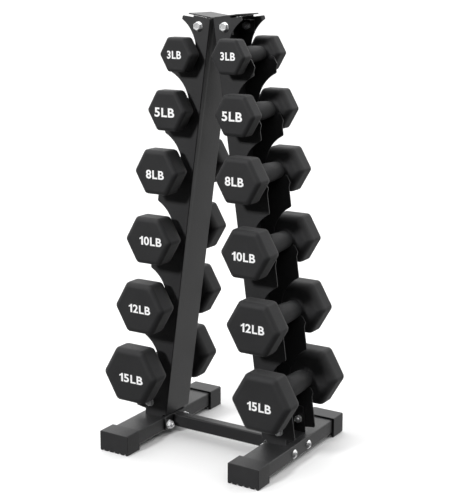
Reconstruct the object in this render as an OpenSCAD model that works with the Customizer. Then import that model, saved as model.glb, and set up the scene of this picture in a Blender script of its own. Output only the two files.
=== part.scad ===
// Two-sided A-frame dumbbell rack with its six pairs of hexagonal dumbbells.
// Origin: centre of the footprint on the floor. +X right, +Y to the back, +Z up.
// The two legs are mirror images; dimensions are given for the right-hand one.

/* [Legs] */
// Height of the valley where the two top flanges meet
top_z = 800; // [780:1:830]
// Lean of each leg from the vertical (degrees)
lean = 7.87; // [7:0.01:8.5]
// Distance of each leg's fold from the centre line at the top
top_gap = 2.5; // [1:0.5:6]
// Thickness of the folded sheet
sheet = 2; // [1.5:0.25:2.5]
// Depth of a leg, over its front and rear plates
leg_depth = 80; // [76:1:84]
// Length of a leg, measured along it from the valley
leg_len = 766; // [760:1:768]
// Width of a leg's top flange
flange_w = 48; // [44:1:52]
// Depth of a leg's top flange
flange_depth = 72; // [68:1:74]
// Distance of a plate's outer edge from the fold, horizontally
nose_out = 70.5; // [69:0.5:76]
// Radius of the sweep above each handle seat
sweep_r = 64; // [56:1:70]
// Direction in which a dumbbell lifts off, above the horizontal (degrees)
lift_angle = 42; // [38:1:44]
// Clearance between a handle and its seat
seat_gap = 0.4; // [0.3:0.1:1]

/* [Dumbbells, one value per level from the top] */
// Height of the handle's axis
handle_z = [735.5, 636.5, 526.5, 399, 269, 135.7]; // [80:0.1:760]
// Distance of the handle's axis from the leg's fold, horizontally
handle_out = [42, 45.5, 45.5, 45, 46, 48]; // [40:0.5:50]
// Room between the handle and its seat's inner wall, besides the clearance
seat_room = [7, 7, 4, 1.5, 1.5, 1.5]; // [0:0.5:8]
// Width of the head across its flats
head_w = [60.5, 72, 81, 87.5, 96, 105.5]; // [50:0.5:108]
// Thickness of the head
head_t = [33.5, 38, 46, 49, 50, 51]; // [30:0.5:52]
// Overall length
bell_len = [152, 166, 194, 202, 212, 224]; // [150:1:230]
// Largest radius of the grip, at its middle
grip_r = [15, 17, 18, 18.5, 19.5, 20.5]; // [13:0.5:21]
// Radius of the grip where it meets a head
neck_r = [12.5, 14, 15, 15.5, 16, 17]; // [11:0.5:18]
// Thickness of the soft coat over the iron
skin = 1.5; // [1.5:0.25:3]

/* [Feet] */
// Distance between the centre lines of the two feet
foot_pitch = 282; // [276:1:288]
// Length of a foot over its end caps
foot_len = 324; // [310:1:330]
// Width of the foot tube
foot_w = 57; // [54:0.5:60]
// Height of the foot tube's section
foot_h = 27; // [25:0.5:28]
// Height of the foot tube's underside above the floor
foot_lift = 8.5; // [7.5:0.5:10]
// Wall of the foot tube
foot_wall = 2; // [1.5:0.25:2.5]
// Length of an end cap
cap_len = 38.5; // [34:0.5:44]
// Wall of an end cap around the tube
cap_wall = 3.5; // [3:0.25:4]
// Width of the cross tube, front to back
cross_w = 20; // [18:1:24]
// Height of the cross tube's section
cross_h = 25; // [22:0.5:26]

/* [Fasteners] */
// Diameter of every bolt's shank
bolt_d = 8; // [6:1:8]
// Outer diameter of every washer
washer_d = 17; // [16:0.5:18]

/* [Hidden] */
LEVELS = len(handle_z);
SIDES = ["left", "right"];
WEIGHTS = ["3", "5", "8", "10", "12", "15"];

plate_y = leg_depth / 2;                 // outer face of a saddle plate
foot_x = foot_pitch / 2;                 // centre line of a foot
foot_side = foot_x - foot_w / 2;         // inner side of a foot
foot_top = foot_lift + foot_h;
bend_r = 3;                              // outside of the fold under the valley
fold_end = 4;                            // the web's full depth starts this far down the leg
slot_u = 35;                             // inner end of the gap under the flange
slot_h = 3.4;                            // height of that gap
horn_u = 57.5;                           // reach of the horn under the flange
sweep_lift = 7;                          // a sweep's centre lies this far above the handle's axis
relief_r = 1.3;                          // bend relief between a plate and the flange
relief_u = 8.5;
peak_out = 20.5;                         // top of a seat's ramp, out from the handle's axis
nose = [69, -5.5];                       // tip of a nose, out from the fold and up from the handle
tip_clear = [2, 1.2];                    // least distance of that tip from a seat's ramp
tip_r = 2;
nose_flare = [74, -18];
nose_foot = [nose_out, -27];
nose_r = 4;                              // its lower corner, where the next sweep begins
horn_sweep = 59;                         // where the sweep under the horn starts, out from the fold
end_plate_t = 3;
end_plate_w = 76;
joint_t = 2.5;                           // sheet of a joining angle
joint_tab = [14, 42];                    // inner and outer edge of its tabs
joint_z = [771, 795];                    // bottom of the tabs, top of the strip that joins them
joint_strip = [-26, -20];                // front and back of the strip between the webs
joint_clear = 0.3;                       // gap round the strip in its slots
slot_reach = 15;                         // the slots are cut this far out from the centre line
bracket_t = 2.5;
bracket_x = [118, 157];                  // inner and outer edge of a bracket on its foot
bracket_top = 88;
cheek_gap = 4;                           // from a cheek's inner edge to the web
cheek_taper = 3.3;                       // its outer edge leans in by this much at the top
cheek_step = 12;                         // height above the foot where its inner edge starts to lean
cheek_r = 6;
bolt_hole_d = bolt_d + 0.5;
nut_bore_d = bolt_d + 0.04;
washer_t = 1.6;
hex_w = 13;                              // bolt head and nut, across flats
hex_t = 5.5;
nut_t = 6.5;
thread_out = 3.5;                        // thread showing past a nut
dome_d = 17;
dome_h = 4.5;
base_bolt_y = 27;
base_bolt_z = 19.5;
top_bolt = [27, 784];                    // x and z of a top bolt
leg_bolt = [143.6, 62.8];                // x and z of a leg bolt
socket_w = 5;                            // hexagon socket in a dome
socket_depth = 2.6;
tooth_pitch = 12.2;
tooth_gaps = 5;
groove_w = 5;                            // groove between two teeth, at the floor and at its top
groove_top_w = 3;
groove_h = 4;
tube_r = 3;                              // outer corners of the foot tube
cross_r = 2.5;                           // and of the cross tube
cross_wall = 1.5;
cap_r = 2.5;
head_bevel = 0.05;                       // outer bevel and corner rounding, as shares of a head's width
head_corner = 0.07;
shoulder_share = [0.36, 0.13];           // the inner shoulder's length and inset, as shares of t and w
shoulder_steps = [0, 35, 63, 90];        // degrees round the shoulder's curve
iron_corner = 5;
sink = 0.01;                             // two solids of one piece run into each other by this much
cut = 1;                                 // a cut runs this far past the faces it leaves

// ---- geometry in the XZ plane -------------------------------------------------------

// Horizontal position of the leg's fold at height z
function fold_x(z) = top_gap + (top_z - z) * tan(lean);
// Point at distance u outward from the fold and v up along the leg
function leg_pt(u, v) = [top_gap + u * cos(lean) - v * sin(lean), top_z + u * sin(lean) + v * cos(lean)];

function handle_x(k) = fold_x(handle_z[k]) + handle_out[k];
function grip_half(k) = bell_len[k] / 2 - head_t[k];
function grip_radius(k, y) = grip_r[k] - (grip_r[k] - neck_r[k]) * pow(y / grip_half(k), 2);
function seat_radius(k) = grip_radius(k, plate_y - sheet) + seat_gap;

function unit(v) = v / norm(v);
function cross2(a, b) = a.x * b.y - a.y * b.x;
// Points on an arc from angle a0 to a1
function arc(c, r, a0, a1, n) =
    [for (i = [0:n]) let (a = a0 + (a1 - a0) * i / n) c + r * [cos(a), sin(a)]];

// Corner b of the outline a-b-c, rounded to radius r
function corner(a, b, c, r, n = 5) =
    let (u = unit(a - b), w = unit(c - b), half = acos(u * w) / 2,
         centre = b + unit(u + w) * r / sin(half),
         p = b + u * r / tan(half) - centre, q = b + w * r / tan(half) - centre,
         start = atan2(p.y, p.x), turn = atan2(cross2(p, q), p * q))
    arc(centre, r, start, start + turn, n);

function xz(p) = [p.x, p.y];
// Outline of [x, z, corner radius] entries with its corners rounded
function rounded(pts) =
    let (n = len(pts))
    [for (i = [0:n - 1]) each
        pts[i][2] == 0 ? [xz(pts[i])]
                       : corner(xz(pts[(i + n - 1) % n]), xz(pts[i]), xz(pts[(i + 1) % n]), pts[i][2])];

function with_r(p, r) = [p.x, p.y, r];
function sharp(list) = [for (p = list) with_r(p, 0)];

// One handle pocket: the sweep above the seat, the seat, its ramp and the nose below it
function pocket(k, start_out) =
    let (x = handle_x(k), r = seat_radius(k) + seat_room[k], z = handle_z[k] + seat_room[k],
         c = [x - r + sweep_r, handle_z[k] + sweep_lift],
         // the sweep begins where its circle crosses a line start_out from the fold
         reach = (c.x - fold_x(c.y) - start_out) * cos(lean),
         a0 = 180 + lean - acos(reach / sweep_r),
         ramp = lift_angle - 90,
         foot = [x, z] + r * [cos(ramp), sin(ramp)],
         peak_x = x + peak_out,
         peak_z = foot.y + (peak_x - foot.x) * tan(lift_angle),
         // the tip stays clear of the peak where the ramp ends low
         tip = [max(nose.x, handle_out[k] + peak_out + tip_clear.x),
                min(nose.y, peak_z - handle_z[k] - tip_clear.y)],
         below = function(p) let (h = handle_z[k] + p.y) [fold_x(h) + p.x, h])
    concat(
        [with_r(c + sweep_r * [cos(a0), sin(a0)], k == 0 ? 2 : nose_r)],
        sharp(arc(c, sweep_r, a0 + 4, 176, 12)),
        sharp(arc([x, z], r, 180, 360 + ramp, 12)),
        [[peak_x, peak_z, 1.5],
         with_r(below(tip), tip_r), with_r(below(nose_flare), 2.5), with_r(below(nose_foot), 2)]);

// Whole outline of a saddle plate
plate_outline = rounded(concat(
    [with_r(leg_pt(0, -fold_end), 0), with_r(leg_pt(bend_r, -sheet), 0), with_r(leg_pt(slot_u, -sheet), 0),
     with_r(leg_pt(slot_u, -sheet - slot_h), 1),
     with_r(leg_pt(horn_u, -sheet - slot_h), 2)],
    [for (k = [0:LEVELS - 1]) each pocket(k, k == 0 ? horn_sweep : nose_out)],
    [with_r(leg_pt(nose_out * cos(lean), -leg_len), 3), with_r(leg_pt(0, -leg_len), 0)]));

// Rounded hexagon, w across its top and bottom flats
function hexagon(w, r, n) =
    [for (k = [0:5], j = [0:n])
        let (a = 60 * k, b = a - 30 + 60 * j / n)
        (w - 2 * r) / sqrt(3) * [cos(a), sin(a)] + r * [cos(b), sin(b)]];

// Rounded rectangle centred on the origin
function block(w, h, r) =
    rounded([for (c = [[1, 1], [-1, 1], [-1, -1], [1, -1]]) [c.x * w / 2, c.y * h / 2, r]]);

// ---- helpers ------------------------------------------------------------------------

// Extrudes an XZ outline along Y between y0 and y1
module slab(y0, y1) {
    translate([0, y1, 0]) rotate([90, 0, 0]) linear_extrude(y1 - y0) children();
}

// Mirrors its children for the left-hand side
module side(s) {
    mirror([s == "left" ? 1 : 0, 0, 0]) children();
}

// Mirrors its children for the rear end
module end(e) {
    mirror([0, e == "rear" ? 1 : 0, 0]) children();
}

// Places its children at all four mirrored corners
module four() {
    for (s = SIDES, e = ["front", "rear"]) side(s) end(e) children();
}

// Cylinder along Y, starting at y and running towards the back
module rod_y(x, y, z, d, l, fn = 48) {
    translate([x, y, z]) rotate([-90, 0, 0]) cylinder(d = d, h = l, $fn = fn);
}

// Hexagonal prism along Y, with two flats level
module hex_y(x, y, z, w, l) {
    translate([x, y, z]) rotate([-90, 0, 0]) cylinder(d = w * 2 / sqrt(3), h = l, $fn = 6);
}

// ---- legs ---------------------------------------------------------------------------

module leg_web(s) {
    folded = rounded([with_r(leg_pt(0, 0), bend_r), with_r(leg_pt(flange_w, 0), 0),
                      with_r(leg_pt(flange_w, -sheet), 0), with_r(leg_pt(sheet, -sheet), 1),
                      with_r(leg_pt(sheet, -leg_len), 0), with_r(leg_pt(0, -leg_len), 0)]);
    flat = [leg_pt(0, -fold_end), leg_pt(sheet, -fold_end), leg_pt(sheet, -leg_len), leg_pt(0, -leg_len)];
    slot_y = joint_strip - joint_clear * [1, -1];
    slot_z = joint_z[1] + joint_clear;
    color("dimgray") side(s) difference() {
        union() {
            slab(-flange_depth / 2, flange_depth / 2) polygon(folded);
            slab(sheet - plate_y, plate_y - sheet) polygon(flat);
        }
        // slots for the two joining angles
        for (e = ["front", "rear"]) end(e)
            translate([0, slot_y[0], slot_z - joint_t - 2 * joint_clear])
                cube([slot_reach, slot_y[1] - slot_y[0], joint_t + 2 * joint_clear]);
    }
}

module saddle_plate(s, e) {
    relief = leg_pt(relief_u, -sheet);
    color("dimgray") side(s) end(e) difference() {
        slab(-plate_y, sheet - plate_y) polygon(plate_outline);
        for (p = [top_bolt, leg_bolt]) rod_y(p.x, -plate_y - cut, p.y, bolt_hole_d, sheet + 2 * cut);
        rod_y(relief.x, -plate_y - cut, relief.y, 2 * relief_r, sheet + 2 * cut);
    }
}

// Angle that joins the two legs: a tab behind each saddle plate, and a strip through both webs
module joining_angle(e) {
    y = sheet - plate_y;
    under = joint_z[1] - joint_t;
    color("dimgray") end(e) difference() {
        union() {
            for (s = SIDES) side(s) translate([joint_tab[0], y, joint_z[0]]) {
                cube([joint_tab[1] - joint_tab[0], joint_t, joint_z[1] - joint_z[0]]);
                translate([0, 0, under - joint_z[0]])
                    cube([joint_tab[1] - joint_tab[0], joint_strip[1] - y, joint_t]);
            }
            translate([-joint_tab[0] - sink, joint_strip[0], under])
                cube([2 * (joint_tab[0] + sink), joint_strip[1] - joint_strip[0], joint_t]);
        }
        for (x = [-top_bolt.x, top_bolt.x])
            rod_y(x, y - cut, top_bolt.y, bolt_hole_d, joint_t + 2 * cut);
    }
}

// Upturned channel on the foot: a base and two cheeks that lean with the leg
module leg_bracket(s) {
    cheek_y = plate_y - sheet;
    step_z = foot_top + cheek_step;
    cheek = rounded([[bracket_x[0], foot_top, 0], [bracket_x[1], foot_top, 0],
                     [bracket_x[1] - cheek_taper, bracket_top, cheek_r],
                     [fold_x(bracket_top) + sheet + cheek_gap, bracket_top, cheek_r],
                     [fold_x(step_z) + sheet + cheek_gap, step_z, cheek_r]]);
    color("dimgray") side(s) difference() {
        union() {
            for (y = [-cheek_y, cheek_y - bracket_t]) slab(y, y + bracket_t) polygon(cheek);
            translate([bracket_x[0], -cheek_y, foot_top])
                cube([bracket_x[1] - bracket_x[0], 2 * cheek_y, bracket_t]);
        }
        rod_y(leg_bolt.x, -cheek_y - cut, leg_bolt.y, bolt_hole_d, 2 * (cheek_y + cut));
    }
}

// ---- base ---------------------------------------------------------------------------

// Through holes of one foot's two base bolts
module base_holes(x, l) {
    for (y = [-base_bolt_y, base_bolt_y])
        translate([x, y, base_bolt_z]) rotate([0, 90, 0]) cylinder(d = bolt_hole_d, h = l, $fn = 48);
}

module foot_tube(s) {
    half = foot_len / 2 - cap_wall;
    color("dimgray") side(s) difference() {
        slab(-half, half) translate([foot_x, foot_lift + foot_h / 2]) difference() {
            polygon(block(foot_w, foot_h, tube_r));
            polygon(block(foot_w - 2 * foot_wall, foot_h - 2 * foot_wall, tube_r - foot_wall));
        }
        base_holes(foot_side - cut, foot_w + 2 * cut);
    }
}

// Section of a groove of the tread, with rounded upper corners
module groove() {
    polygon(rounded([[-groove_w / 2, -cut, 0], [groove_w / 2, -cut, 0], [groove_w / 2, 0, 0],
                     [groove_top_w / 2, groove_h, 1], [-groove_top_w / 2, groove_h, 1],
                     [-groove_w / 2, 0, 0]]));
}

module foot_cap(s, e) {
    cap_w = foot_w + 2 * cap_wall;
    cap_h = foot_top + cap_wall;
    y0 = -foot_len / 2;
    color("black") side(s) end(e) difference() {
        slab(y0, y0 + cap_len) translate([foot_x, cap_h / 2]) polygon(block(cap_w, cap_h, cap_r));
        slab(y0 + cap_wall, y0 + cap_len + cut)
            translate([foot_x, foot_lift + foot_h / 2]) polygon(block(foot_w, foot_h, tube_r));
        // grooves between the teeth of the tread
        slab(y0 - cut, y0 + cap_len + cut)
            for (i = [0:tooth_gaps - 1])
                translate([foot_x + (i - (tooth_gaps - 1) / 2) * tooth_pitch, 0]) groove();
    }
}

module cross_tube() {
    half = foot_side - end_plate_t;
    color("dimgray") translate([-half, 0, foot_top - 0.5 - cross_h / 2]) rotate([90, 0, 90])
        linear_extrude(2 * half) difference() {
            polygon(block(cross_w, cross_h, cross_r));
            polygon(block(cross_w - 2 * cross_wall, cross_h - 2 * cross_wall, cross_r - cross_wall));
        }
}

module end_plate(s) {
    color("dimgray") side(s) difference() {
        translate([foot_side - end_plate_t, 0, foot_lift + foot_h / 2]) rotate([90, 0, 90])
            linear_extrude(end_plate_t) polygon(block(end_plate_w, foot_h, tube_r));
        base_holes(foot_side - end_plate_t - cut, end_plate_t + 2 * cut);
    }
}

// ---- fasteners ----------------------------------------------------------------------

base_out = foot_x + foot_w / 2;          // outer side of a foot
base_in = foot_side - end_plate_t;       // inner face of an end plate

module base_bolts() {
    color("silver") for (s = SIDES, y = [-base_bolt_y, base_bolt_y]) side(s)
        translate([base_in - washer_t - nut_t - thread_out, y, base_bolt_z]) rotate([0, 90, 0]) {
            shank = base_out - base_in + washer_t + nut_t + thread_out;
            cylinder(d = bolt_d, h = shank + sink, $fn = 48);
            translate([0, 0, shank]) dome();
        }
}

// Domed head with a hexagon socket: the cap of a sphere
module dome() {
    dome_r = (pow(dome_d / 2, 2) + dome_h * dome_h) / (2 * dome_h);
    difference() {
        intersection() {
            translate([0, 0, dome_h - dome_r]) sphere(r = dome_r, $fn = 64);
            cylinder(d = dome_d, h = dome_h + cut, $fn = 64);
        }
        translate([0, 0, dome_h - socket_depth])
            cylinder(d = socket_w * 2 / sqrt(3), h = socket_depth + cut, $fn = 6);
    }
}

module base_washers() {
    color("silver") for (s = SIDES, y = [-base_bolt_y, base_bolt_y]) side(s)
        translate([base_in - washer_t, y, base_bolt_z]) rotate([0, 90, 0]) washer();
}

module base_nuts() {
    color("silver") for (s = SIDES, y = [-base_bolt_y, base_bolt_y]) side(s)
        translate([base_in - washer_t - nut_t, y, base_bolt_z]) rotate([0, 90, 0]) nut();
}

module washer() {
    difference() {
        cylinder(d = washer_d, h = washer_t, $fn = 48);
        translate([0, 0, -cut]) cylinder(d = bolt_hole_d, h = washer_t + 2 * cut, $fn = 48);
    }
}

module nut() {
    difference() {
        cylinder(d = hex_w * 2 / sqrt(3), h = nut_t, $fn = 6);
        translate([0, 0, -cut]) cylinder(d = nut_bore_d, h = nut_t + 2 * cut, $fn = 48);
    }
}

// Short bolts through a plate and the piece behind it, stack thick together; the heads are outside
module plate_bolts(p, stack) {
    head_y = -plate_y - washer_t;
    color("silver") four() {
        hex_y(p.x, head_y - hex_t, p.y, hex_w, hex_t);
        rod_y(p.x, head_y - sink, p.y, bolt_d, washer_t + stack + nut_t + thread_out);
    }
}

module plate_washers(p) {
    color("silver") four()
        translate([p.x, -plate_y - washer_t, p.y]) rotate([-90, 0, 0]) washer();
}

module plate_nuts(p, stack) {
    color("silver") four()
        translate([p.x, -plate_y + stack, p.y]) rotate([-90, 0, 0]) nut();
}

// ---- dumbbells ----------------------------------------------------------------------

// Head at the rear end: bevelled outside, with a round shoulder towards the grip.
// inset shrinks it on every side; r and n round its corners.
module head(k, inset, r, n) {
    w = head_w[k] - 2 * inset;
    outer = bell_len[k] / 2 - inset;
    t = head_t[k] - 2 * inset;
    bevel = head_bevel * head_w[k];
    shoulder = [shoulder_share[0] * head_t[k], shoulder_share[1] * head_w[k]];
    // distance from the outer face, and inset from the flats
    rings = concat([[0, bevel], [bevel, 0]],
        [for (a = shoulder_steps) [t - shoulder.x * (1 - sin(a)), shoulder.y * (1 - cos(a))]]);
    hull() for (ring = rings) {
        share = 1 - 2 * ring[1] / w;
        slab(outer - ring[0] - sink, outer - ring[0]) polygon(share * hexagon(w, r, n));
    }
}

module heads(k, inset, r, n) {
    for (e = ["front", "rear"]) end(e) head(k, inset, r, n);
}

// Barrel-shaped grip between the heads
module grip(k) {
    half = grip_half(k) + cut;           // runs into the heads
    steps = 8;
    rotate([90, 0, 0]) rotate_extrude($fn = 64)
        polygon(concat([[0, -half]],
            [for (i = [0:steps]) let (y = half * (2 * i / steps - 1)) [grip_radius(k, y), y]],
            [[0, half]]));
}

module iron(k) {
    half = grip_half(k) + skin + cut;
    heads(k, skin, iron_corner, 1);
    rotate([90, 0, 0]) cylinder(r = neck_r[k] - skin, h = 2 * half, center = true, $fn = 48);
}

module dumbbell_core(s, k) {
    color("gray") side(s) translate([handle_x(k), 0, handle_z[k]]) iron(k);
}

module dumbbell_coat(s, k) {
    color("#2b2b2b") side(s) translate([handle_x(k), 0, handle_z[k]]) difference() {
        union() {
            heads(k, 0, head_corner * head_w[k], 3);
            grip(k);
        }
        iron(k);
    }
}

// ---- assembly -----------------------------------------------------------------------

for (s = SIDES) {
    foot_tube(s);
    end_plate(s);
    leg_bracket(s);
    leg_web(s);
    for (e = ["front", "rear"]) {
        foot_cap(s, e);
        saddle_plate(s, e);
    }
    for (k = [0:LEVELS - 1]) {
        dumbbell_coat(s, k);
        dumbbell_core(s, k);
    }
}
cross_tube();
joining_angle("front");  // front_joining_angle
joining_angle("rear");  // rear_joining_angle
base_bolts();
base_washers();
base_nuts();
plate_bolts(leg_bolt, sheet + bracket_t);  // leg_bolts
plate_washers(leg_bolt);  // leg_washers
plate_nuts(leg_bolt, sheet + bracket_t);  // leg_nuts
plate_bolts(top_bolt, sheet + joint_t);  // top_bolts
plate_washers(top_bolt);  // top_washers
plate_nuts(top_bolt, sheet + joint_t);  // top_nuts
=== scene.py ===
"""Looks of the two-sided dumbbell rack and its twelve dumbbells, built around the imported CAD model.

Lengths are metres in the frame's own axes: +X right, +Y back, +Z up, floor at z = 0. Tables that list
sizes in millimetres say so and are scaled by MM where they are read.
"""

import math

import bmesh
import bpy
from mathutils import Matrix, Vector


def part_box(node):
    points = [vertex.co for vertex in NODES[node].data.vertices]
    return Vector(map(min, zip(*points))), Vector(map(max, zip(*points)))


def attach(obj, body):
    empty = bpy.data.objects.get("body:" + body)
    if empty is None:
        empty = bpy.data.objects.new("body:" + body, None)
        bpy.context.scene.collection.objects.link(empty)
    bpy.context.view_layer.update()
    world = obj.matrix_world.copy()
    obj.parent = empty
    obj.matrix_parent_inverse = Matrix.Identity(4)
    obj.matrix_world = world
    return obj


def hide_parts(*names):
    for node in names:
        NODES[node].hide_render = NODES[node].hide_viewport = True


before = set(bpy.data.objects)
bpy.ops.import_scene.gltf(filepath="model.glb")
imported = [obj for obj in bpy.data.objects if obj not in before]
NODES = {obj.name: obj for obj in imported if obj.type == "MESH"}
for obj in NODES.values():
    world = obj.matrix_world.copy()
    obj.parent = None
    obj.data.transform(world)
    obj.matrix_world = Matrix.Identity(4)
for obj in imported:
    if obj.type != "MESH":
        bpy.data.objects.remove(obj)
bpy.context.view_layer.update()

MM = 0.001
SIDES = ("left", "right")
ENDS = ("front", "rear")


# ---- camera, floor and light ---------------------------------------------------------

CAMERA_AZIMUTH = math.radians(32.045)
CAMERA_ELEVATION = math.radians(13.309)
CAMERA_DISTANCE = 2.2034
CAMERA_AIM = Vector((0.002, 0.001, 0.376))
CAMERA_LENS = 85.78     # mm, on a sensor of this width
CAMERA_SENSOR = 36


def make_camera():
    data = bpy.data.cameras.new("camera")
    data.lens = CAMERA_LENS
    data.sensor_width = CAMERA_SENSOR
    camera = bpy.data.objects.new("camera", data)
    bpy.context.collection.objects.link(camera)
    level = math.cos(CAMERA_ELEVATION)
    back = Vector((math.sin(CAMERA_AZIMUTH) * level, -math.cos(CAMERA_AZIMUTH) * level,
                   math.sin(CAMERA_ELEVATION)))
    camera.location = CAMERA_AIM + back * CAMERA_DISTANCE
    camera.rotation_mode = "QUATERNION"
    camera.rotation_quaternion = (-back).to_track_quat("-Z", "Y")
    bpy.context.scene.camera = camera


FLOOR_REACH = 60        # metres from the middle to each side, far enough to look endless
FLOOR_SHADE = (0.8, 0.8, 0.8, 1)


def make_floor():
    """A pale matt studio floor. It throws no light back on the rack."""
    corners = [(x * FLOOR_REACH, y * FLOOR_REACH, 0) for x, y in ((-1, -1), (1, -1), (1, 1), (-1, 1))]
    mesh = bpy.data.meshes.new("floor")
    mesh.from_pydata(corners, [], [(0, 1, 2, 3)])
    floor = bpy.data.objects.new("floor", mesh)
    bpy.context.collection.objects.link(floor)
    mat, _, bsdf = new_material("studio_floor")
    bsdf.inputs["Base Color"].default_value = FLOOR_SHADE
    bsdf.inputs["Roughness"].default_value = 0.9
    bsdf.inputs["Specular IOR Level"].default_value = 0.0
    mesh.materials.append(mat)
    floor.visible_diffuse = False
    floor.visible_glossy = False


def area_light(name, place, aim, size, power):
    data = bpy.data.lights.new(name, "AREA")
    data.shape = "RECTANGLE"
    data.size, data.size_y = size
    data.energy = power
    light = bpy.data.objects.new(name, data)
    bpy.context.collection.objects.link(light)
    light.location = place
    light.rotation_mode = "QUATERNION"
    light.rotation_quaternion = (Vector(aim) - Vector(place)).to_track_quat("-Z", "Y")
    light.visible_camera = False


ROOM_DARK = 0.02        # brightness of the room behind the photographer
ROOM_WHITE = 1.0
FADE_FROM, FADE_TO = -0.5, 0.15     # cosine of the angle from the camera's side where it fades


def make_room():
    """White room that is dark on the photographer's side; looked at directly it is plain white."""
    world = bpy.data.worlds.new("studio")
    world.use_nodes = True
    nodes, links = world.node_tree.nodes, world.node_tree.links
    coords = nodes.new("ShaderNodeTexCoord")
    cosine = nodes.new("ShaderNodeVectorMath")
    cosine.operation = "DOT_PRODUCT"
    cosine.inputs[1].default_value = (math.sin(CAMERA_AZIMUTH), -math.cos(CAMERA_AZIMUTH), 0)
    fade = nodes.new("ShaderNodeMapRange")
    fade.interpolation_type = "SMOOTHSTEP"
    for socket, value in zip(("From Min", "From Max", "To Min", "To Max"),
                             (FADE_FROM, FADE_TO, ROOM_WHITE, ROOM_DARK)):
        fade.inputs[socket].default_value = value
    seen = nodes.new("ShaderNodeLightPath")
    strength = nodes.new("ShaderNodeMix")
    strength.inputs["B"].default_value = ROOM_WHITE
    links.new(coords.outputs["Generated"], cosine.inputs[0])
    links.new(cosine.outputs["Value"], fade.inputs["Value"])
    links.new(seen.outputs["Is Camera Ray"], strength.inputs["Factor"])
    links.new(fade.outputs["Result"], strength.inputs["A"])
    nodes["Background"].inputs["Color"].default_value = (1, 1, 1, 1)
    links.new(strength.outputs["Result"], nodes["Background"].inputs["Strength"])
    bpy.context.scene.world = world


BANK_STRENGTH = 3.3
BANK_SPREAD = math.radians(125)
BANK_TILT = math.radians(-10)       # its light comes from a little behind
KEY_PLACE = (-0.75, -4.5, 2.5)
KEY_AIM = (0, 0, 0.4)
KEY_SIZE = (0.6, 0.6)
KEY_POWER = 195


def make_lights():
    """The white room, very soft light from above, and a small key light raised in front."""
    make_room()
    bank = bpy.data.lights.new("overhead_bank", "SUN")
    bank.energy = BANK_STRENGTH
    bank.angle = BANK_SPREAD
    light = bpy.data.objects.new("overhead_bank", bank)
    bpy.context.collection.objects.link(light)
    light.rotation_euler = (BANK_TILT, 0, 0)
    area_light("key_box", KEY_PLACE, KEY_AIM, KEY_SIZE, KEY_POWER)
    bpy.context.scene.view_settings.view_transform = "Standard"


# ---- materials -----------------------------------------------------------------------

def new_material(name):
    mat = bpy.data.materials.new(name)
    mat.use_nodes = True
    tree = mat.node_tree
    return mat, tree, tree.nodes["Principled BSDF"]


def noise(tree, scale, detail=2.0, stretch=(1, 1, 1)):
    """Noise in the piece's own coordinates, with scale cells to the metre."""
    coords = tree.nodes.new("ShaderNodeTexCoord")
    mapping = tree.nodes.new("ShaderNodeMapping")
    mapping.inputs["Scale"].default_value = stretch
    texture = tree.nodes.new("ShaderNodeTexNoise")
    texture.inputs["Scale"].default_value = scale
    texture.inputs["Detail"].default_value = detail
    tree.links.new(coords.outputs["Object"], mapping.inputs["Vector"])
    tree.links.new(mapping.outputs["Vector"], texture.inputs["Vector"])
    return texture.outputs[0]


def ramp(tree, factor, low, high, start=0.3, stop=0.7):
    """Colour or grey that runs from low to high as factor goes from start to stop."""
    node = tree.nodes.new("ShaderNodeValToRGB")
    for element, place, value in zip(node.color_ramp.elements, (start, stop), (low, high)):
        element.position = place
        element.color = (*value, 1) if isinstance(value, tuple) else (value, value, value, 1)
    tree.links.new(factor, node.inputs["Fac"])
    return node.outputs["Color"]


def bumps(tree, bsdf, layers):
    """Stacks bump layers of (height, depth in metres) on the shader's normal."""
    normal = None
    for height, depth in layers:
        node = tree.nodes.new("ShaderNodeBump")
        node.inputs["Distance"].default_value = depth
        tree.links.new(height, node.inputs["Height"])
        if normal:
            tree.links.new(normal, node.inputs["Normal"])
        normal = node.outputs["Normal"]
    tree.links.new(normal, bsdf.inputs["Normal"])


def powder_coat():
    """Satin black powder coat: fine sand-like grain over a faint orange peel."""
    mat, tree, bsdf = new_material("powder_coat")
    patches = noise(tree, 14, 3)
    grain = noise(tree, 1400, 2)
    peel = noise(tree, 260, 1)
    tree.links.new(ramp(tree, patches, (0.017, 0.017, 0.018), (0.023, 0.023, 0.024)),
                   bsdf.inputs["Base Color"])
    tree.links.new(ramp(tree, grain, 0.40, 0.56), bsdf.inputs["Roughness"])
    bumps(tree, bsdf, [(peel, 0.00012), (grain, 0.00008)])
    return mat


def cap_plastic():
    """Moulded black plastic with a spark-eroded texture."""
    mat, tree, bsdf = new_material("cap_plastic")
    patches = noise(tree, 30, 2)
    grain = noise(tree, 1000, 3)
    tree.links.new(ramp(tree, patches, (0.019, 0.019, 0.020), (0.025, 0.025, 0.026)),
                   bsdf.inputs["Base Color"])
    tree.links.new(ramp(tree, grain, 0.46, 0.64), bsdf.inputs["Roughness"])
    bumps(tree, bsdf, [(grain, 0.00014)])
    return mat


def neoprene():
    """Dipped matt coat: soft, slightly uneven, with fine pores."""
    mat, tree, bsdf = new_material("neoprene")
    patches = noise(tree, 22, 3)
    pores = noise(tree, 1700, 2)
    dip = noise(tree, 60, 2)
    tree.links.new(ramp(tree, patches, (0.012, 0.012, 0.013), (0.016, 0.016, 0.017)),
                   bsdf.inputs["Base Color"])
    tree.links.new(ramp(tree, pores, 0.62, 0.80), bsdf.inputs["Roughness"])
    bsdf.inputs["Specular IOR Level"].default_value = 0.4
    bsdf.inputs["Sheen Weight"].default_value = 0.06
    bsdf.inputs["Sheen Roughness"].default_value = 0.5
    bumps(tree, bsdf, [(dip, 0.00035), (pores, 0.00007)])
    return mat


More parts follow.
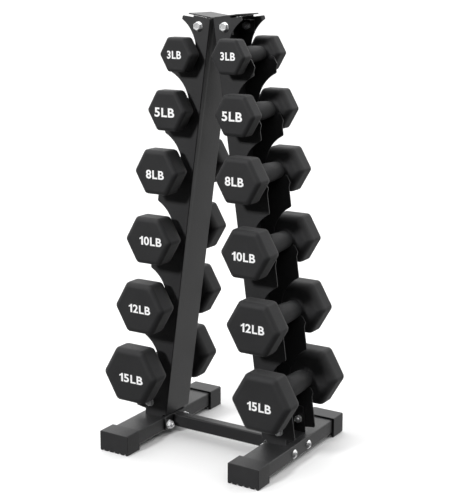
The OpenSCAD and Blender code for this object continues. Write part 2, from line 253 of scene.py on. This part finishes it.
def zinc():
    """Bright zinc plating with a cloudy, faintly scratched surface."""
    mat, tree, bsdf = new_material("zinc")
    cloud = noise(tree, 300, 3)
    scratch = noise(tree, 900, 2, (1, 1, 6))
    bsdf.inputs["Metallic"].default_value = 0.6
    tree.links.new(ramp(tree, cloud, (0.82, 0.83, 0.85), (0.95, 0.95, 0.94)),
                   bsdf.inputs["Base Color"])
    tree.links.new(ramp(tree, scratch, 0.22, 0.40), bsdf.inputs["Roughness"])
    bumps(tree, bsdf, [(cloud, 0.00006), (scratch, 0.00002)])
    return mat


def cast_iron():
    """Sand-cast iron, as it is under the soft coat."""
    mat, tree, bsdf = new_material("cast_iron")
    grain = noise(tree, 700, 4)
    bsdf.inputs["Metallic"].default_value = 0.8
    tree.links.new(ramp(tree, grain, (0.10, 0.10, 0.10), (0.22, 0.21, 0.21)),
                   bsdf.inputs["Base Color"])
    tree.links.new(ramp(tree, grain, 0.55, 0.8), bsdf.inputs["Roughness"])
    bumps(tree, bsdf, [(grain, 0.0004)])
    return mat


def white_print():
    """White ink, slightly broken by the rubber's pores."""
    mat, tree, bsdf = new_material("white_print")
    pores = noise(tree, 1500, 2)
    tree.links.new(ramp(tree, pores, (0.93, 0.93, 0.93), (0.98, 0.98, 0.98), 0.2, 0.5),
                   bsdf.inputs["Base Color"])
    tree.links.new(ramp(tree, pores, 0.45, 0.6), bsdf.inputs["Roughness"])
    bumps(tree, bsdf, [(pores, 0.00005)])
    return mat


# ---- mesh helpers --------------------------------------------------------------------

WELD_GAP = 0.005 * MM               # points closer than this are one point
FLAT_ANGLE = math.radians(0.5)      # faces that meet below this angle are one flat face


def add_piece(name, mesh, mat, body="rack", replaces=()):
    """Links a finished mesh as a named piece that rides on a body and stands for CAD nodes."""
    piece = bpy.data.objects.new(name, mesh)
    bpy.context.collection.objects.link(piece)
    mesh.materials.clear()
    mesh.materials.append(mat)
    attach(piece, body)
    if replaces:
        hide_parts(*replaces)
    return piece


def shade_by_area(piece):
    """Smooth shading whose normals follow the large faces, so flats stay flat between round edges."""
    for face in piece.data.polygons:
        face.use_smooth = True
    piece.modifiers.new("area_normals", "WEIGHTED_NORMAL").weight = 60


def loft(bm, rings, place=Matrix.Identity(4)):
    """Closed skin over rings that all have the same number of points."""
    made = [[bm.verts.new(place @ Vector(p)) for p in ring] for ring in rings]
    n = len(rings[0])
    for a, b in zip(made, made[1:]):
        for i in range(n):
            j = (i + 1) % n
            bm.faces.new((a[i], a[j], b[j], b[i]))
    bm.faces.new(reversed(made[0]))
    bm.faces.new(made[-1])


def make_whole(bm):
    """Welds shared corners and joins the triangles of each flat face."""
    bmesh.ops.remove_doubles(bm, verts=bm.verts, dist=WELD_GAP)
    bmesh.ops.dissolve_limit(bm, angle_limit=FLAT_ANGLE, verts=bm.verts, edges=bm.edges)


def mesh_from(bm, name):
    bmesh.ops.recalc_face_normals(bm, faces=bm.faces)
    mesh = bpy.data.meshes.new(name)
    bm.to_mesh(mesh)
    bm.free()
    return mesh


# ---- steel frame ---------------------------------------------------------------------

FOLD_RADIUS = 5 * MM
FOLD_LENGTH = 0.5       # metres; only the two folds of a leg are longer
FOLD_ANGLE = 60         # and sharper, in degrees
EDGE_ANGLE = 35         # edges sharper than this are rounded, in degrees
SHEET_EDGE = 0.35 * MM


def welded_copy(node):
    """A copy of a CAD node with its shared corners welded and its flat faces whole."""
    bm = bmesh.new()
    bm.from_mesh(NODES[node].data)
    make_whole(bm)
    copy = bpy.data.objects.new(node + "_copy", mesh_from(bm, node + "_copy"))
    bpy.context.collection.objects.link(copy)
    return copy


def joined(nodes):
    """One bmesh of several touching CAD nodes, with the faces between them gone."""
    first, *others = [welded_copy(n) for n in nodes]
    for other in others:
        union = first.modifiers.new("union", "BOOLEAN")
        union.operation = "UNION"
        union.solver = "EXACT"
        union.object = other
    bpy.context.view_layer.update()
    mesh = first.evaluated_get(bpy.context.evaluated_depsgraph_get()).to_mesh()
    bm = bmesh.new()
    bm.from_mesh(mesh)
    for copy in (first, *others):
        bpy.data.objects.remove(copy)
    make_whole(bm)
    return bm


def bevel(bm, edges, width, segments):
    bmesh.ops.bevel(bm, geom=edges, offset=width, offset_type="OFFSET", segments=segments,
                    profile=0.5, affect="EDGES", clamp_overlap=True, miter_outer="ARC")


def sharp_edges(bm, degrees):
    limit = math.radians(degrees)
    return [e for e in bm.edges if len(e.link_faces) == 2 and e.calc_face_angle(0) > limit]


def make_leg(side, mat):
    """One leg as the single folded sheet that it is: web, top flange and two saddle plates."""
    web = side + "_leg_web"
    plates = [f"{side}_{end}_saddle_plate" for end in ENDS]
    bm = joined([web, *plates])
    front = abs(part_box(plates[0])[0].y)
    # the folds lie in the outer faces of the plates, next to the web
    folds = [e for e in sharp_edges(bm, FOLD_ANGLE)
             if all(abs(abs(v.co.y) - front) < 0.02 * MM for v in e.verts)
             and e.calc_length() > FOLD_LENGTH]
    bevel(bm, folds, FOLD_RADIUS, 6)
    bevel(bm, sharp_edges(bm, EDGE_ANGLE), SHEET_EDGE, 2)
    piece = add_piece(side + "_leg", mesh_from(bm, side + "_leg"), mat,
                      replaces=[web, *plates])
    shade_by_area(piece)


def soften(node, mat, width, segments=3):
    """Gives a CAD node rounded edges and its material. Its own mesh stays as imported."""
    piece = NODES[node]
    piece.data.materials.clear()
    piece.data.materials.append(mat)
    piece.modifiers.new("weld", "WELD").merge_threshold = WELD_GAP
    flat = piece.modifiers.new("flat_faces", "DECIMATE")
    flat.decimate_type = "DISSOLVE"
    flat.angle_limit = FLAT_ANGLE
    edge = piece.modifiers.new("round_edges", "BEVEL")
    edge.width = width
    edge.segments = segments
    edge.limit_method = "ANGLE"
    edge.angle_limit = math.radians(EDGE_ANGLE)
    edge.miter_outer = "MITER_ARC"
    shade_by_area(piece)


def make_frame(mats):
    coat = mats["powder_coat"]
    for side in SIDES:
        make_leg(side, coat)
        soften(side + "_foot_tube", coat, 0.4 * MM, 2)
        soften(side + "_end_plate", coat, 0.5 * MM)
        soften(side + "_leg_bracket", coat, 0.4 * MM)
        for end in ENDS:
            soften(f"{side}_{end}_foot_cap", mats["cap_plastic"], 0.9 * MM)
    soften("cross_tube", coat, 0.4 * MM, 2)
    for end in ENDS:
        soften(end + "_joining_angle", coat, 0.4 * MM)


# ---- fasteners -----------------------------------------------------------------------

BOLT_R = 4 * MM
HEX_W = 13 * MM
HEX_T = 5.5 * MM
HEX_FLAT_R = HEX_W * 0.47           # the flat disc that the corner chamfer leaves
HEX_SLOPE = math.tan(math.radians(30))
HEX_DISH = 0.5 * MM
NUT_T = 6.5 * MM
BORE_CHAMFER = 0.7 * MM
WASHER_R = 8.5 * MM
WASHER_HOLE_R = 4.25 * MM
WASHER_T = 1.6 * MM
WASHER_EDGE = 0.25 * MM
DOME_R = 8.5 * MM
DOME_T = 4.5 * MM
SOCKET_W = 5 * MM
SOCKET_DEPTH = 2.6 * MM
THREAD_PITCH = 1.25 * MM
THREAD_DEPTH = 0.6 * MM
THREAD_LENGTH = 4 * MM
TIP_LENGTH = 0.8 * MM
TIP_SLOPE = 0.8
SHANK_GAP = 0.5 * MM    # the plain shank stops this far short of the nut's inner face
CLAMPED = 4.5 * MM      # saddle plate and the bracket or angle behind it
RIM = 48                # points round a fastener
CRISP_ANGLE = math.radians(28)


def hex_radius(width, angle):
    """Distance from the middle of a hexagon to its rim; the corners are at 0, 60, 120... degrees."""
    return width / 2 / math.cos((angle % (math.pi / 3)) - math.pi / 6)


def rim(height, radius):
    """Ring on its own axis; radius may be a function of the angle, and height one of the radius."""
    ring = []
    for i in range(RIM):
        a = 2 * math.pi * i / RIM
        r = radius(a) if callable(radius) else radius
        h = height(r) if callable(height) else height
        ring.append((r * math.cos(a), r * math.sin(a), h))
    return ring


def hex_rim(height, width):
    return rim(height, lambda a: hex_radius(width, a))


def ring_solid(bm, rings, place):
    """Closed ring-shaped skin: the last ring joins the first."""
    made = [[bm.verts.new(place @ Vector(p)) for p in ring] for ring in rings]
    for a, b in zip(made, made[1:] + made[:1]):
        for i in range(RIM):
            j = (i + 1) % RIM
            bm.faces.new((a[i], a[j], b[j], b[i]))


def hex_head(bm, place):
    """Bolt head with its corners turned down by a 30 degree chamfer and a shallow dish on top."""
    top = lambda r: HEX_T - (r - HEX_FLAT_R) * HEX_SLOPE
    loft(bm, [rim(0, WASHER_R * 0.5), hex_rim(0, HEX_W), hex_rim(top, HEX_W), rim(HEX_T, HEX_FLAT_R),
              rim(HEX_T, HEX_FLAT_R * 0.8), rim(HEX_T - HEX_DISH, HEX_FLAT_R * 0.7),
              rim(HEX_T - HEX_DISH, HEX_FLAT_R * 0.2)], place)


def dome_head(bm, place):
    """Button head: a low dome with a hexagon socket."""
    sphere = (DOME_R ** 2 + DOME_T ** 2) / (2 * DOME_T)
    top = lambda r: DOME_T - sphere + math.sqrt(sphere ** 2 - r ** 2)
    lip = SOCKET_W / 2 / math.cos(math.pi / 6) + 0.35 * MM
    rings = [rim(0, BOLT_R), rim(0, DOME_R - 0.3 * MM)]
    rings += [rim(top(r), r) for r in (DOME_R * s / 8 for s in (8, 7.5, 7, 6.5, 6, 5.5, 5, 4.5, 4, 3.5))]
    rings += [rim(top(lip), lip), hex_rim(top(lip) - 0.25 * MM, SOCKET_W),
              hex_rim(DOME_T - SOCKET_DEPTH, SOCKET_W), rim(DOME_T - SOCKET_DEPTH, SOCKET_W * 0.1)]
    loft(bm, rings, place)


def shank(bm, length, place):
    """Plain part of a bolt, below its head."""
    loft(bm, [rim(-length, BOLT_R * 0.97), rim(0, BOLT_R * 0.97)], place)


def thread(bm, place):
    """Threaded end of a bolt, with a helical groove and a chamfered tip."""
    steps = round(THREAD_LENGTH / THREAD_PITCH * 8)
    rings = []
    for i in range(steps + 1):
        h = THREAD_LENGTH * i / steps
        tip = max(0.0, h - (THREAD_LENGTH - TIP_LENGTH))

        def radius(a, h=h, tip=tip):
            phase = (h / THREAD_PITCH + a / (2 * math.pi)) % 1
            return BOLT_R - THREAD_DEPTH * (1 - abs(2 * phase - 1)) - tip * TIP_SLOPE

        rings.append(rim(h, radius))
    loft(bm, rings, place)


def nut(bm, place):
    """Hexagon nut, chamfered on both faces, with a countersunk bore."""
    low = lambda r: (r - HEX_FLAT_R) * HEX_SLOPE
    high = lambda r: NUT_T - (r - HEX_FLAT_R) * HEX_SLOPE
    mouth = BOLT_R + BORE_CHAMFER
    ring_solid(bm, [rim(NUT_T - BORE_CHAMFER, BOLT_R), rim(NUT_T, mouth), rim(NUT_T, HEX_FLAT_R),
                    hex_rim(high, HEX_W), hex_rim(low, HEX_W), rim(0, HEX_FLAT_R), rim(0, mouth),
                    rim(BORE_CHAMFER, BOLT_R)], place)


def washer(bm, place):
    """Flat washer with a small chamfer on all four of its edges."""
    edge = WASHER_EDGE
    ring_solid(bm, [rim(edge, WASHER_R), rim(WASHER_T - edge, WASHER_R), rim(WASHER_T, WASHER_R - edge),
                    rim(WASHER_T, WASHER_HOLE_R + edge), rim(WASHER_T - edge, WASHER_HOLE_R),
                    rim(edge, WASHER_HOLE_R), rim(0, WASHER_HOLE_R + edge), rim(0, WASHER_R - edge)],
               place)


def facing(point, direction):
    """Frame at a point whose own +Z looks along direction and whose hexagons lie level."""
    turn = direction.to_track_quat("Z", "X" if abs(direction.x) < 0.5 else "Y").to_matrix()
    return Matrix.Translation(point) @ turn.to_4x4()


# A spot is a point in the rack's middle plane and the direction of the bolt's head from there

def outward(spots, distance):
    return [facing(point + out * distance, out) for point, out in spots]


def inward(spots, distance):
    return [facing(point + out * distance, -out) for point, out in spots]


def fastener_piece(name, build, places, mat, replaces=()):
    """One piece that holds a fastener at each place, smooth between crisp edges."""
    bm = bmesh.new()
    for place in places:
        build(bm, place)
    piece = add_piece(name, mesh_from(bm, name), mat, replaces=replaces)
    for face in piece.data.polygons:
        face.use_smooth = True
    piece.modifiers.new("sharp_edges", "EDGE_SPLIT").split_angle = CRISP_ANGLE


def make_fasteners(kind, head, spots, head_at, washers, nut_at, mat):
    """Bolts with washers and nuts. Heads and nuts start at their distances from the middle plane."""
    end = nut_at - NUT_T + SHANK_GAP

    def bolt(bm, place):
        head(bm, place)
        shank(bm, head_at - end, place)

    fastener_piece(kind + "_bolt_heads", bolt, outward(spots, head_at), mat, [kind + "_bolts"])
    fastener_piece(kind + "_bolt_threads", thread, inward(spots, end), mat)
    fastener_piece(kind + "_washer_rings", washer, washers, mat, [kind + "_washers"])
    fastener_piece(kind + "_hex_nuts", nut, inward(spots, nut_at), mat, [kind + "_nuts"])


def make_plate_fasteners(kind, mat):
    """Hexagon bolts through the saddle plates, at the four mirrored places of one kind."""
    low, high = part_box(kind + "_bolts")
    x = high.x - HEX_W / math.sqrt(3)
    z = (low.z + high.z) / 2
    face = -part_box("right_front_saddle_plate")[0].y
    spots = [(Vector((sx * x, 0, z)), Vector((0, sy, 0))) for sx in (-1, 1) for sy in (-1, 1)]
    make_fasteners(kind, hex_head, spots, high.y - HEX_T, outward(spots, face), face - CLAMPED, mat)


def make_base_fasteners(mat):
    """Domed bolts through the feet and the cross tube's end plates."""
    low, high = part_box("base_bolts")
    y = high.y - DOME_R
    z = (low.z + high.z) / 2
    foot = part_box("right_foot_tube")[1].x
    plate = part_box("right_end_plate")[0].x
    spots = [(Vector((0, sy * y, z)), Vector((sx, 0, 0))) for sx in (-1, 1) for sy in (-1, 1)]
    make_fasteners("base", dome_head, spots, foot, inward(spots, plate), plate - WASHER_T, mat)


# ---- dumbbells -----------------------------------------------------------------------

# Per weight in pounds, in mm: head thickness, grip radius at the middle and at the neck, height of
# the printed weight, then on the left and on the right: its width and how far it sits off centre
DUMBBELLS = {
    "3": (33.5, 15, 12.5, 14, (29.5, -1.8, -0.1), (29.5, 2, 1.3)),
    "5": (38, 17, 14, 16.5, (42.5, -1.8, -2.6), (41, -2.2, -1)),
    "8": (46, 18, 15, 16, (39, 0.9, -3.4), (37.5, -3.9, -0.7)),
    "10": (49, 18.5, 15.5, 16, (48.5, 9, 1.2), (47, 0.7, -3)),
    "12": (50, 19.5, 16, 16, (48.5, 4.3, 0.5), (47.5, 3.5, 2)),
    "15": (51, 20.5, 17, 16.5, (54, 6.6, -3.3), (48.5, 0.8, -4.3)),
}
CORNER = 0.09          # rounding of a head's six corners, as a share of its width
EDGE = 0.105           # rounding of the edge round its outer face
SHOULDER_LENGTH = 0.36  # the inner shoulder, as a share of the head's thickness
SHOULDER_INSET = 0.13   # and of its width
NECK_FILLET = 6 * MM
ARC_STEPS = 7
GRIP_STEPS = 18
CORE_EDGE = 0.6 * MM


def hex_ring(y, width, radius, n=8):
    """Rounded hexagon in the XZ plane, width across its level flats; a circle once radius is half of it."""
    ring = []
    for k in range(6):
        for j in range(n):
            a = math.radians(60 * k)
            b = a + math.radians(-30 + 60 * j / (n - 1))
            reach = (width - 2 * radius) / math.sqrt(3)
            ring.append((reach * math.cos(a) + radius * math.cos(b), y,
                         reach * math.sin(a) + radius * math.sin(b)))
    return ring


def head_rings(width, thickness, outer_y, neck_r):
    """Rings of the front head, from its outer face at outer_y to the start of the grip."""
    edge = EDGE * width
    corner = CORNER * width
    long, deep = SHOULDER_LENGTH * thickness, SHOULDER_INSET * width
    rings = []

    def ring(depth, inset):
        share = 1 - 2 * inset / width
        rings.append(hex_ring(outer_y + depth, width * share, corner * share))

    for i in range(ARC_STEPS + 1):
        a = math.pi / 2 * i / ARC_STEPS
        ring(edge * (1 - math.cos(a)), edge * (1 - math.sin(a)))
    for i in range(ARC_STEPS + 1):
        a = math.pi / 2 * i / ARC_STEPS
        ring(thickness - long * (1 - math.sin(a)), deep * (1 - math.cos(a)))
    face_w = width - 2 * deep
    face_r = corner * face_w / width
    foot_r = neck_r + NECK_FILLET
    for i in range(1, 5):
        t = i / 4
        rings.append(hex_ring(outer_y + thickness, face_w + (2 * foot_r - face_w) * t,
                              face_r + (foot_r - face_r) * t))
    return rings


def grip_rings(half, grip_r, neck_r):
    """Round rings from neck to neck: a fillet out of each head and a barrel between them."""
    rings = []
    for i in range(GRIP_STEPS + 1):
        y = half * (2 * i / GRIP_STEPS - 1)
        rings.append((y, grip_r - (grip_r - neck_r) * (y / half) ** 2))
    fillet = []
    for i in range(1, ARC_STEPS + 1):
        a = math.pi / 2 * i / ARC_STEPS
        fillet.append((-half + NECK_FILLET * (1 - math.cos(a)), neck_r + NECK_FILLET * (1 - math.sin(a))))
    barrel = [(y, r) for y, r in rings if abs(y) < half - NECK_FILLET * 1.2]
    profile = fillet + barrel + [(-y, r) for y, r in reversed(fillet)]
    return [hex_ring(y, 2 * r, r) for y, r in profile]


def make_dumbbell(side, weight, mats):
    thickness, grip_r, neck_r, text_h = (v * MM for v in DUMBBELLS[weight][:4])
    text_w, off_x, off_z = (v * MM for v in DUMBBELLS[weight][4 + SIDES.index(side)])
    body = f"{side}_{weight}_dumbbell"
    node = f"{side}_{weight}_coat"
    low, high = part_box(node)
    centre = (low + high) / 2
    width, half = high.z - low.z, (high.y - low.y) / 2
    front = head_rings(width, thickness, -half, neck_r)
    rear = [[(x, -y, z) for x, y, z in ring] for ring in reversed(front)]
    bm = bmesh.new()
    loft(bm, front + grip_rings(half - thickness, grip_r, neck_r) + rear, Matrix.Translation(centre))
    piece = add_piece(f"{side}_{weight}_rubber", mesh_from(bm, node), mats["neoprene"],
                      body, [node])
    shade_by_area(piece)
    for end, sign in (("front", -1), ("rear", 1)):
        name = f"{side}_{weight}_{end}_weight"
        mesh = print_mesh(name, weight + "LB", text_w, text_h)
        turn = Matrix.Rotation(0 if sign < 0 else math.pi, 4, "Z")
        lift = Matrix.Translation(centre + Vector((-sign * off_x, sign * half, off_z)))
        mesh.transform(lift @ turn)
        add_piece(name, mesh, mats["white_print"], body)
    soften(f"{side}_{weight}_core", mats["cast_iron"], CORE_EDGE)


PRINT_DEPTH = 0.12 * MM
CHARACTER_DEPTH = 0.01
CHARACTER_GAP = 1.08
BOLDNESS = 0.025
# A one with a flag, one unit high; it replaces the typeface's own
ONE = [(0.43, 0), (0.43, 1), (0.26, 1), (0.17, 0.86), (0, 0.77), (0, 0.6), (0.21, 0.69), (0.21, 0)]
ONE_WIDTH = 0.43
ONE_GAP = 0.1


def lettering(text):
    """Flat extruded characters, about one unit high, standing on y = 0."""
    curve = bpy.data.curves.new(text, "FONT")
    curve.body = text.lstrip("1")
    curve.offset = BOLDNESS
    curve.space_character = CHARACTER_GAP
    curve.extrude = CHARACTER_DEPTH
    curve.resolution_u = 6
    holder = bpy.data.objects.new(text + "_curve", curve)
    bpy.context.collection.objects.link(holder)
    bpy.context.view_layer.update()
    bm = bmesh.new()
    bm.from_mesh(holder.evaluated_get(bpy.context.evaluated_depsgraph_get()).to_mesh())
    bpy.data.objects.remove(holder)
    if text.startswith("1"):
        left = min(v.co.x for v in bm.verts)
        low, high = (f(v.co.y for v in bm.verts) for f in (min, max))
        size = high - low
        start = left - (ONE_WIDTH + ONE_GAP) * size
        back, front = ([bm.verts.new((start + x * size, low + y * size, z)) for x, y in ONE]
                       for z in (-CHARACTER_DEPTH, CHARACTER_DEPTH))
        bm.faces.new(reversed(back))
        bm.faces.new(front)
        for i in range(len(ONE)):
            j = (i + 1) % len(ONE)
            bm.faces.new((back[i], back[j], front[j], front[i]))
    return bm


def print_mesh(name, text, width, height):
    """Plain upright characters on the plane y = 0, facing the front and centred on the origin."""
    bm = lettering(text)
    xs = [v.co.x for v in bm.verts]
    ys = [v.co.y for v in bm.verts]
    scale_x, scale_y = width / (max(xs) - min(xs)), height / (max(ys) - min(ys))
    mid_x, mid_y = (max(xs) + min(xs)) / 2, (max(ys) + min(ys)) / 2
    for v in bm.verts:
        out = -PRINT_DEPTH if v.co.z > 0 else PRINT_DEPTH
        v.co = ((v.co.x - mid_x) * scale_x, out, (v.co.y - mid_y) * scale_y)
    return mesh_from(bm, name)


# ---- everything together -------------------------------------------------------------

make_camera()
make_floor()
make_lights()
materials = {make.__name__: make() for make in (powder_coat, cap_plastic, neoprene, zinc, cast_iron,
                                                white_print)}
make_frame(materials)
make_plate_fasteners("top", materials["zinc"])
make_plate_fasteners("leg", materials["zinc"])
make_base_fasteners(materials["zinc"])
for side_name in SIDES:
    for pounds in DUMBBELLS:
        make_dumbbell(side_name, pounds, materials)
